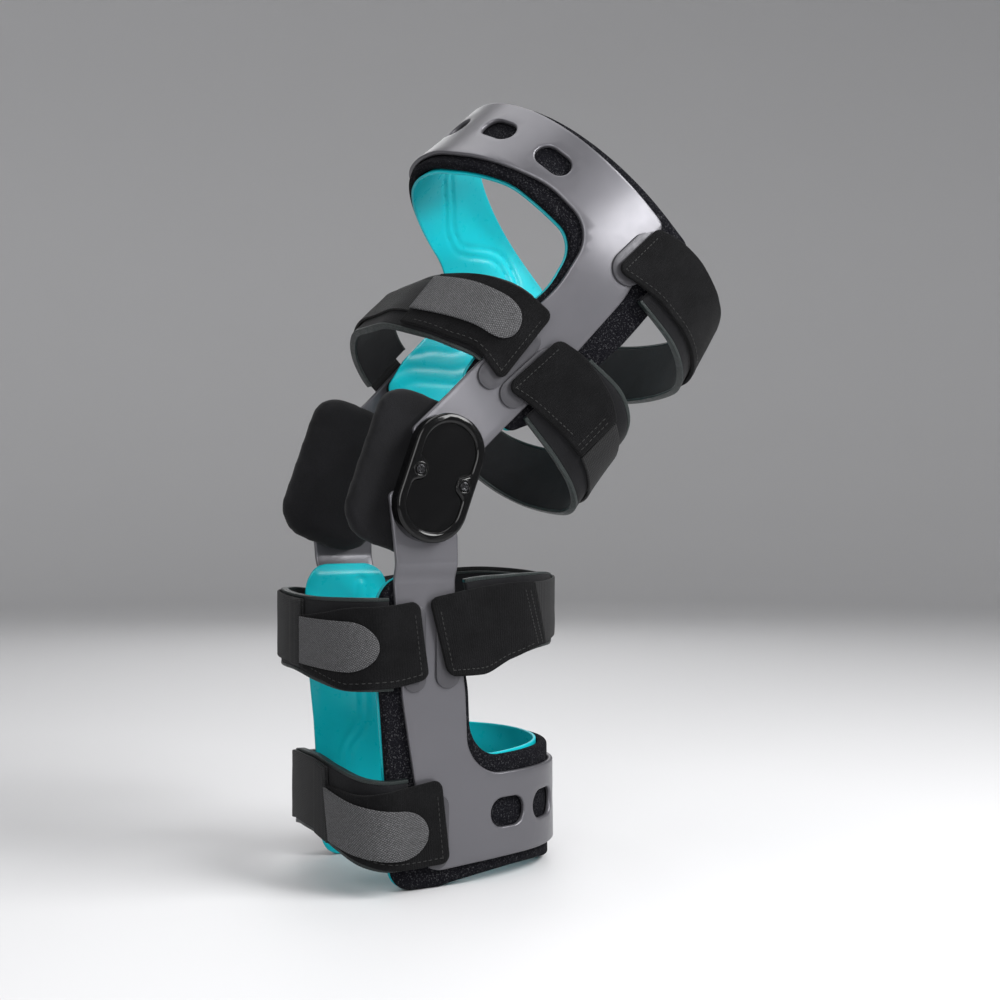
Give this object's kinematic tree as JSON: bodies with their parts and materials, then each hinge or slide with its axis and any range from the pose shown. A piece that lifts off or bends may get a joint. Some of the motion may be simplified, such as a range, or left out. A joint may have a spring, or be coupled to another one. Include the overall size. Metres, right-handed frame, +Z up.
{
  "type": "hinged knee brace",
  "caption": "Rigid-frame hinged knee brace: thigh and calf cuffs on two side hinges, with padded liners, condyle pads and hook-and-loop straps; it flexes at the knee.",
  "frame": {"origin": "on the standing surface, under the middle of the brace's box", "axes": "+X to the leg's outer side, +Y to the back of the leg, +Z up along the calf"},
  "size_m": [0.1806, 0.2506, 0.4367],
  "materials": {
    "frame_grey": "satin grey coat",
    "foam_black": "matt closed-cell foam with a fine nap",
    "liner_teal": "glossy moulded with shallow grooves",
    "loop_black": "brushed loop cloth",
    "webbing_grey": "woven webbing",
    "hook_grey": "twill-woven hook tab",
    "tab_smoke": "smoky satin",
    "cover_black": "high gloss",
    "pad_black": "soft brushed cloth over foam",
    "hinge_steel": "satin"
  },
  "bodies": {
    "calf": {"calf_frame": "frame_grey", "calf_liner_foam": "foam_black", "calf_liner_face": "liner_teal", "calf_upper_front_strap_band": "loop_black", "calf_upper_front_strap_webbing": "webbing_grey", "calf_upper_front_strap_pad": "pad_black", "calf_upper_front_strap_hook": "hook_grey", "calf_upper_back_strap_band": "loop_black", "calf_upper_back_strap_webbing": "webbing_grey", "calf_upper_back_strap_pad": "pad_black", "calf_lower_front_strap_band": "loop_black", "calf_lower_front_strap_webbing": "webbing_grey", "calf_lower_front_strap_pad": "pad_black", "calf_lower_front_strap_hook": "hook_grey", "calf_upper_front_strap_tab_outer": "tab_smoke", "calf_upper_front_strap_tab_inner": "tab_smoke", "calf_upper_back_strap_tab_outer": "tab_smoke", "calf_upper_back_strap_tab_inner": "tab_smoke", "calf_lower_front_strap_tab_outer": "tab_smoke", "calf_lower_front_strap_tab_inner": "tab_smoke"},
    "lateral_hinge": {"lateral_hinge_cover": "cover_black", "lateral_hinge_plate": "hinge_steel", "lateral_lower_pin": "hinge_steel", "lateral_upper_pin": "hinge_steel", "lateral_front_screw": "hinge_steel", "lateral_rear_screw": "hinge_steel", "lateral_condyle_pad": "pad_black"},
    "medial_hinge": {"medial_hinge_cover": "cover_black", "medial_hinge_plate": "hinge_steel", "medial_lower_pin": "hinge_steel", "medial_upper_pin": "hinge_steel", "medial_front_screw": "hinge_steel", "medial_rear_screw": "hinge_steel", "medial_condyle_pad": "pad_black"},
    "thigh": {"thigh_frame": "frame_grey", "thigh_liner_foam": "foam_black", "thigh_liner_face": "liner_teal", "thigh_front_strap_band": "loop_black", "thigh_front_strap_webbing": "webbing_grey", "thigh_front_strap_pad": "pad_black", "thigh_front_strap_hook": "hook_grey", "thigh_lower_back_strap_band": "loop_black", "thigh_lower_back_strap_webbing": "webbing_grey", "thigh_lower_back_strap_pad": "pad_black", "thigh_upper_back_strap_band": "loop_black", "thigh_upper_back_strap_pad": "pad_black", "thigh_front_strap_tab_outer": "tab_smoke", "thigh_front_strap_tab_inner": "tab_smoke", "thigh_lower_back_strap_tab_outer": "tab_smoke", "thigh_lower_back_strap_tab_inner": "tab_smoke", "thigh_upper_back_strap_tab_outer": "tab_smoke", "thigh_upper_back_strap_tab_inner": "tab_smoke"}
  },
  "joints": [
    {"name": "lateral_knee_pivot", "type": "hinge", "parent": "calf", "child": "lateral_hinge", "pos_m": [0.0585, -0.06719, 0.20536], "axis": [-1, 0, 0], "range_deg": [-27.15, 10.35]},
    {"name": "thigh_knee_pivot", "type": "hinge", "parent": "lateral_hinge", "child": "thigh", "pos_m": [0.0585, -0.05735, 0.23264], "axis": [-1, 0, 0], "range_deg": [-27.15, 10.35]},
    {"name": "medial_knee_pivot", "type": "hinge", "parent": "calf", "child": "medial_hinge", "pos_m": [-0.0585, -0.06719, 0.20536], "axis": [-1, 0, 0], "range_deg": [-27.15, 10.35]}
  ],
  "couplings": [
    {"joint": "thigh_knee_pivot", "follows": "lateral_knee_pivot", "ratio": 1},
    {"joint": "medial_knee_pivot", "follows": "lateral_knee_pivot", "ratio": 1}
  ]
}
